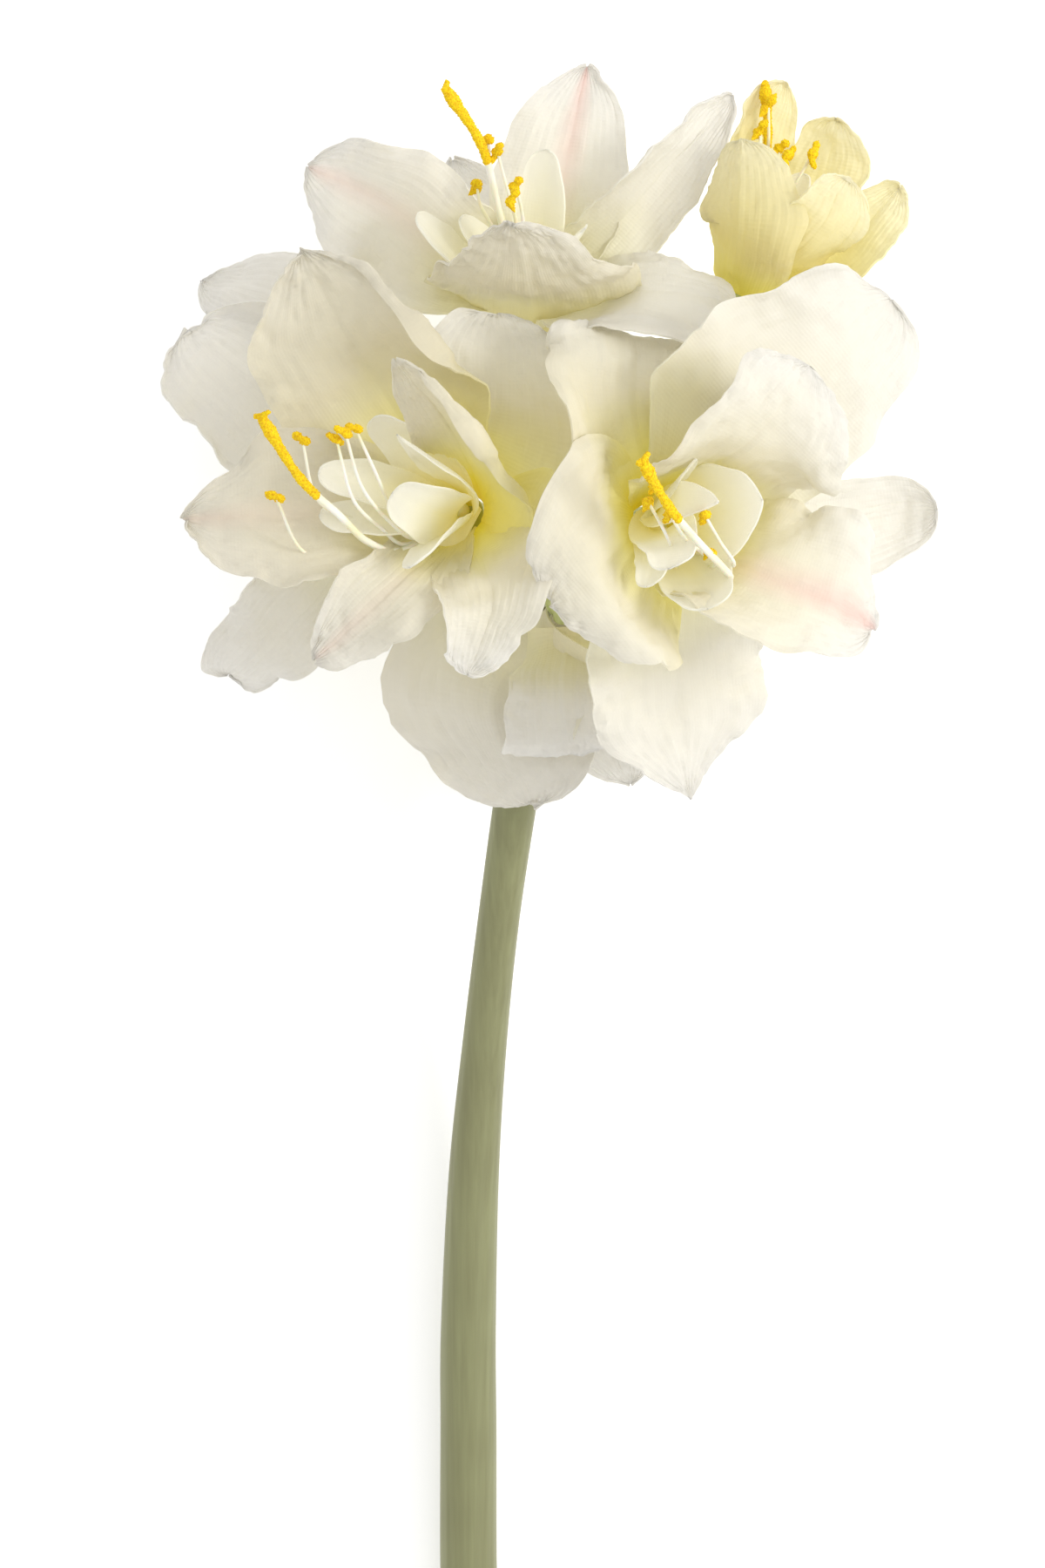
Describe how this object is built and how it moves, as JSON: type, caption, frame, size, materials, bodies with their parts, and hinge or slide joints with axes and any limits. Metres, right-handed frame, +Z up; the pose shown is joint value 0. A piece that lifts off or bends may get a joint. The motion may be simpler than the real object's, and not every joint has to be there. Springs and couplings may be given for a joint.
{
  "type": "amaryllis flower",
  "caption": "Cut amaryllis lying down: one thick green stem and a head of large open white double flowers with yellow throats.",
  "frame": {"origin": "middle of the bounding box in X and Y, at the surface it lies on", "axes": "+Y along the stem from its cut end towards the flower head, +Z up from the surface it lies on"},
  "size_m": [0.268, 0.559, 0.211],
  "materials": {
    "petal": "soft matte white petal",
    "cream_petal": "soft matte cream petal",
    "heart": "soft matte pale yellow petal",
    "stamen": "powdery yellow",
    "stalk": "satin pale green skin",
    "stem": "satin olive green skin"
  },
  "bodies": {
    "root": {"stem": "stem", "left_stalk": "stalk", "right_stalk": "stalk", "top_stalk": "stalk", "corner_stalk": "stalk", "underleft_stalk": "stalk", "low_stalk": "stalk", "left_stamens": "stamen", "right_stamens": "stamen", "top_stamens": "stamen", "corner_stamens": "stamen", "underleft_stamens": "stamen", "low_stamens": "stamen", "left_heart": "heart", "right_heart": "heart", "top_heart": "heart", "corner_heart": "heart", "left_petal_1": "petal", "left_petal_2": "petal", "left_petal_3": "petal", "left_petal_4": "petal", "left_petal_5": "petal", "left_petal_6": "petal", "right_petal_1": "petal", "right_petal_2": "petal", "right_petal_3": "petal", "right_petal_4": "petal", "right_petal_5": "petal", "right_petal_6": "petal", "right_petal_7": "petal", "top_petal_1": "petal", "top_petal_2": "petal", "top_petal_3": "petal", "top_petal_4": "petal", "top_petal_5": "petal", "top_petal_6": "petal", "corner_petal_1": "cream_petal", "corner_petal_2": "cream_petal", "corner_petal_3": "cream_petal", "corner_petal_4": "cream_petal", "corner_petal_5": "cream_petal", "corner_petal_6": "cream_petal", "underleft_petal_1": "petal", "underleft_petal_2": "petal", "underleft_petal_3": "petal", "underleft_petal_4": "petal", "underleft_petal_5": "petal", "underleft_petal_6": "petal", "low_petal_1": "petal", "low_petal_2": "petal", "low_petal_3": "petal", "low_petal_4": "petal", "low_petal_5": "petal", "low_petal_6": "petal"}
  },
  "joints": []
}
